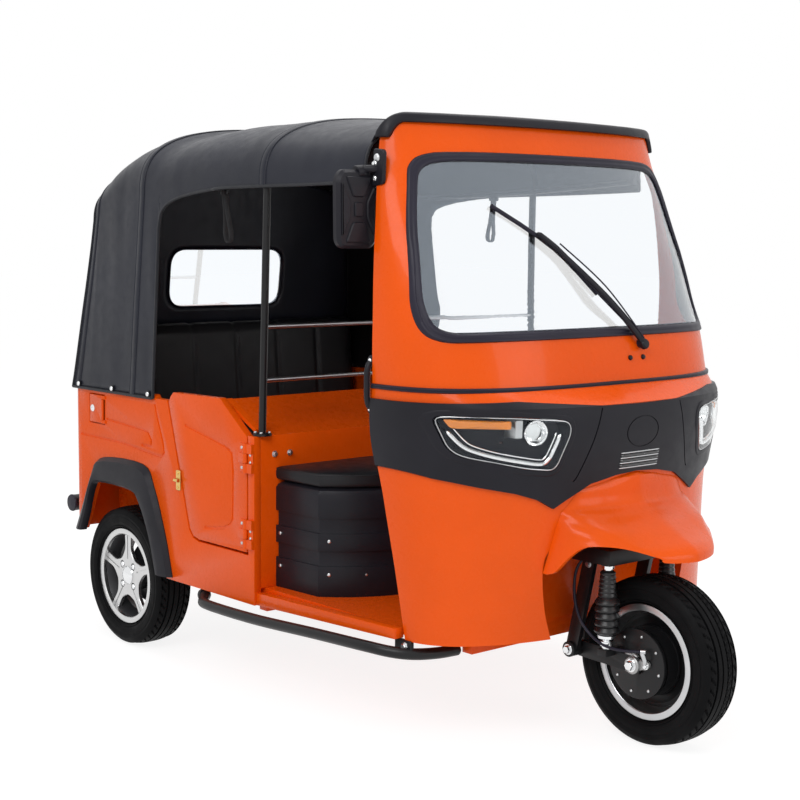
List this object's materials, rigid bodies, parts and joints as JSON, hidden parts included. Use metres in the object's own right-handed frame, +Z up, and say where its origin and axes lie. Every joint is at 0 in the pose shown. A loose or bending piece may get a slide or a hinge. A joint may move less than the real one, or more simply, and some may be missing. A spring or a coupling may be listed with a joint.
{
  "type": "auto rickshaw",
  "caption": "Auto rickshaw with a soft canopy, rounded cab front, half doors and an open driver's bay; the front wheel steers, wheels roll, doors and filler flap swing.",
  "frame": {"origin": "on the ground, on the centre plane, midway between the rear bumper and the front tyre", "axes": "+X forward, +Y to the vehicle's left, +Z up"},
  "size_m": [2.594, 1.4323, 1.846],
  "materials": {
    "paint": "gloss",
    "black_plastic": "textured",
    "canopy_cloth": "vinyl coated",
    "glass": "clear",
    "lamp_glass": "clear",
    "rubber": "satin",
    "tyre": "matte",
    "alloy": "machined",
    "steel": "painted silver",
    "black_metal": "satin",
    "seat_cover": "satin",
    "engine_metal": "matte",
    "red_lens": "clear"
  },
  "bodies": {
    "body": {"lower_cowl": "paint", "screen_frame": "paint", "screen_rubber": "rubber", "windscreen": "glass", "belt_trim": "rubber", "lamp_band": "black_plastic", "head_lamps": "lamp_glass", "mudguard": "paint", "visor": "black_plastic", "canopy": "canopy_cloth", "canopy_back": "canopy_cloth", "rear_window": "glass", "roof_frame": "black_metal", "partition_frame": "black_metal", "body_side_right": "paint", "body_side_left": "paint", "tail_panel": "paint", "flares": "black_plastic", "door_hinges": "paint", "floor_pan": "black_plastic", "sills": "paint", "wheel_well": "paint", "chassis": "paint", "bench_base": "paint", "bench_cushion": "seat_cover", "bench_back": "seat_cover", "bulkhead": "paint", "driver_box": "black_plastic", "driver_pad": "seat_cover", "engine": "engine_metal", "rear_axle": "black_metal", "rear_shocks": "black_metal", "side_steps": "black_metal", "rear_bumper": "black_metal", "tail_lamps": "red_lens", "side_mirror": "black_plastic", "wiper": "rubber"},
    "steering": {"fork": "black_metal", "front_links": "black_metal", "front_shocks": "black_metal", "handlebar": "black_metal"},
    "wheel_front": {"front_tyre": "tyre", "front_rim": "steel", "front_hub": "black_metal"},
    "wheel_rear_right": {"rear_tyre_right": "tyre", "rear_rim_right": "alloy"},
    "wheel_rear_left": {"rear_tyre_left": "tyre", "rear_rim_left": "alloy"},
    "door_right": {"door_right": "paint"},
    "door_left": {"door_left": "paint"},
    "flap": {"filler_flap": "paint"}
  },
  "joints": [
    {"name": "steer", "type": "hinge", "parent": "body", "child": "steering", "pos_m": [0.885, 0, 0.6], "axis": [-0.309, 0, 0.9511], "range_deg": [-40, 40]},
    {"name": "front_wheel_spin", "type": "hinge", "parent": "steering", "child": "wheel_front", "pos_m": [1.05, 0, 0.247], "axis": [0, 1, 0], "continuous": true},
    {"name": "rear_right_spin", "type": "hinge", "parent": "body", "child": "wheel_rear_right", "pos_m": [-0.87, -0.562, 0.247], "axis": [0, 1, 0], "continuous": true},
    {"name": "rear_left_spin", "type": "hinge", "parent": "body", "child": "wheel_rear_left", "pos_m": [-0.87, 0.562, 0.247], "axis": [0, 1, 0], "continuous": true},
    {"name": "door_right_hinge", "type": "hinge", "parent": "body", "child": "door_right", "pos_m": [-0.094, -0.649, 0.64], "axis": [0, 0, 1], "range_deg": [0, 95]},
    {"name": "door_left_hinge", "type": "hinge", "parent": "body", "child": "door_left", "pos_m": [-0.094, 0.649, 0.64], "axis": [0, 0, -1], "range_deg": [0, 95]},
    {"name": "flap_hinge", "type": "hinge", "parent": "body", "child": "flap", "pos_m": [-0.974, -0.643, 0.8355], "axis": [0, 0, 1], "range_deg": [0, 100]}
  ]
}
